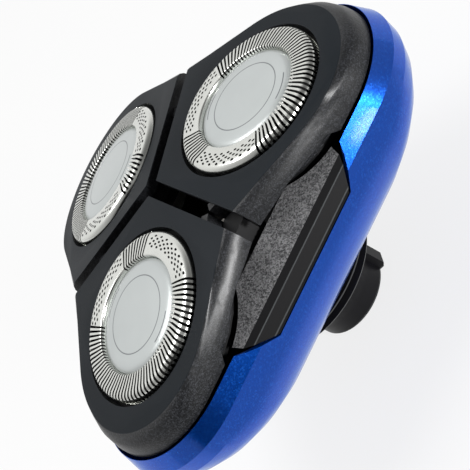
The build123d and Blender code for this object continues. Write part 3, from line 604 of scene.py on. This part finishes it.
def make_camera():
    camera = bpy.data.cameras.new("photo_view")
    camera.lens = 91.47
    camera.sensor_width = 36
    camera.clip_start = 0.005
    camera_object = bpy.data.objects.new("photo_view", camera)
    turn = Matrix((VIEW_RIGHT, VIEW_UP, VIEW_BACK)).transposed().to_4x4()
    camera_object.matrix_world = Matrix.Translation(CAMERA_PLACE) @ turn
    bpy.context.scene.collection.objects.link(camera_object)
    bpy.context.scene.camera = camera_object


def studio_world():
    """A room that is brighter at the back and darker in front, and plain white to the camera."""
    room = Finish("studio", bpy.data.worlds)
    way = room.node("ShaderNodeTexCoord", output="Generated")
    height = room.along(way, (0, 0, 1))
    wall = room.along(way, WALL_WAY).above(0.86, 0.12)
    front = room.along(way, FRONT_WAY).above(0.3, 1.0)
    back = room.along(way, BACK_WAY).above(0.55, 0.6)
    corner = room.along(way, CORNER_WAY).above(0.80, 0.40)
    lit = 0.5 + back * 0.35 + height.above(0.7, 0.6) * 0.1
    level = lit * (1 - front * 0.45) * (1 - corner * 0.6) * (1 - wall)
    seen = room.node("ShaderNodeLightPath", output="Is Camera Ray")
    light = room.node("ShaderNodeBackground", values={"Color": WHITE, "Strength": level})
    backdrop = room.node("ShaderNodeBackground", values={"Color": WHITE, "Strength": 1.0})
    mixed = room.node("ShaderNodeMixShader", values={0: seen, 1: light, 2: backdrop})
    room.node("ShaderNodeOutputWorld", values={"Surface": mixed})
    return room.owner


def floor_finish():
    """Almost white to the camera, with painted reflections that only glossy surfaces see: a darker zone in
    front and a bright glint that glows though it is no lamp.
    """
    pale = Finish("pale_floor")
    matte = pale.node("ShaderNodeBsdfDiffuse", values={"Color": FLOOR_PALE})
    seen = pale.node("ShaderNodeLightPath", output="Is Camera Ray")
    mirrored = pale.node("ShaderNodeLightPath", output="Is Glossy Ray")
    place = pale.place()
    away = pale.measure("LENGTH", place)
    # Painted reflections: a darker zone in front and a glint of strength GLINT_LEVEL, seen only by glossy
    # rays, which put a highlight on the blue paint.
    front = pale.along(place, FLOOR_FRONT_WAY).above(FLOOR_FRONT_START, 10 * MM)
    wall_way = (pale.along(place, WALL_WAY) / away).above(0.89, 0.05)
    wall = wall_way * away.above(FLOOR_WALL_START, 60 * MM)
    glint = 1 - pale.measure("DISTANCE", place, GLINT_PLACE).above(GLINT_RADIUS, 6 * MM)
    painted_reflections = (0.95 - front * 0.35) * (1 - wall) + glint * GLINT_LEVEL
    glow = pale.node("ShaderNodeEmission", values={"Color": WHITE, "Strength": seen + mirrored * painted_reflections})
    mixed = pale.node("ShaderNodeMixShader", values={0: seen * 0.8 + mirrored * 0.95, 1: matte, 2: glow})
    pale.node("ShaderNodeOutputMaterial", values={"Surface": mixed})
    return pale.owner


def make_stage():
    builder = bmesh.new()
    bmesh.ops.create_grid(builder, x_segments=1, y_segments=1, size=FLOOR_SIZE)
    mesh = bpy.data.meshes.new("floor")
    builder.to_mesh(mesh)
    builder.free()
    floor_object = bpy.data.objects.new("floor", mesh)
    bpy.context.scene.collection.objects.link(floor_object)
    mesh.materials.append(floor_finish())
    bpy.context.scene.world = studio_world()
    lamp("key", KEY_WAY, reach=0.45, size=0.08, power=2.4)
    lamp("top", TOP_WAY, reach=0.5, size=0.3, power=1.15)
    bpy.context.scene.view_settings.view_transform = "Standard"


def dress_part():
    inner_black = plain_plastic("inner_black", (0.004, 0.004, 0.0045), 0.5)
    acetal = plain_plastic("acetal", (0.62, 0.60, 0.55), 0.4)
    steel = plain_steel("pin_steel", (0.45, 0.45, 0.46), (0.60, 0.60, 0.61))
    # Painted shade: the steel cutter blades get a near black colour, standing in for the shade under the
    # slots.
    blades = plain_steel("painted_shade_blades", (0.010, 0.010, 0.010), (0.022, 0.022, 0.021))
    plain = {
        "gear_pan": inner_black,
        "hinge_carrier": inner_black,
        "pan_screws": steel,
        "tilt_pins_x": steel,
        "tilt_pins_y": steel,
        "drive_shaft": acetal,
        "driven_gear": acetal,
        "spindle": acetal,
        "spindle_spring": steel,
        "lobe_spring": steel,
        "hinge_pins": steel,
        "retaining_ring": inner_black,
        "hair_chamber": inner_black,
        "cutter_blades": blades,
        "cutter_hub": inner_black,
    }
    for name, node in NODES.items():
        kind = name.rstrip("0123456789").rstrip("_")
        if kind in plain:
            node.data.materials.clear()
            node.data.materials.append(plain[kind])
    smooth_piece("rear_shell", "head", blue_paint(), sharp_angle=14)
    smooth_piece("skirt_ring", "head", neck_plastic("skirt_black", SKIRT_RIMS))
    smooth_piece("gimbal_ring", "gimbal", neck_plastic("gimbal_black", GIMBAL_RIMS))
    smooth_piece("coupling_collar", "coupling", neck_plastic("collar_black", COLLAR_RIMS))
    for index in range(LOBES):
        smooth_piece(f"lobe_frame_{index}", f"lobe_{index}", lobe_plastic(index))
        smooth_piece(f"side_plate_{index}", "head", side_plastic(index), sharp_angle=12)
        slotted_cap(index, cap_steel(index))
        domed_disc(index, disc_print(index))


make_camera()
make_stage()
dress_part()
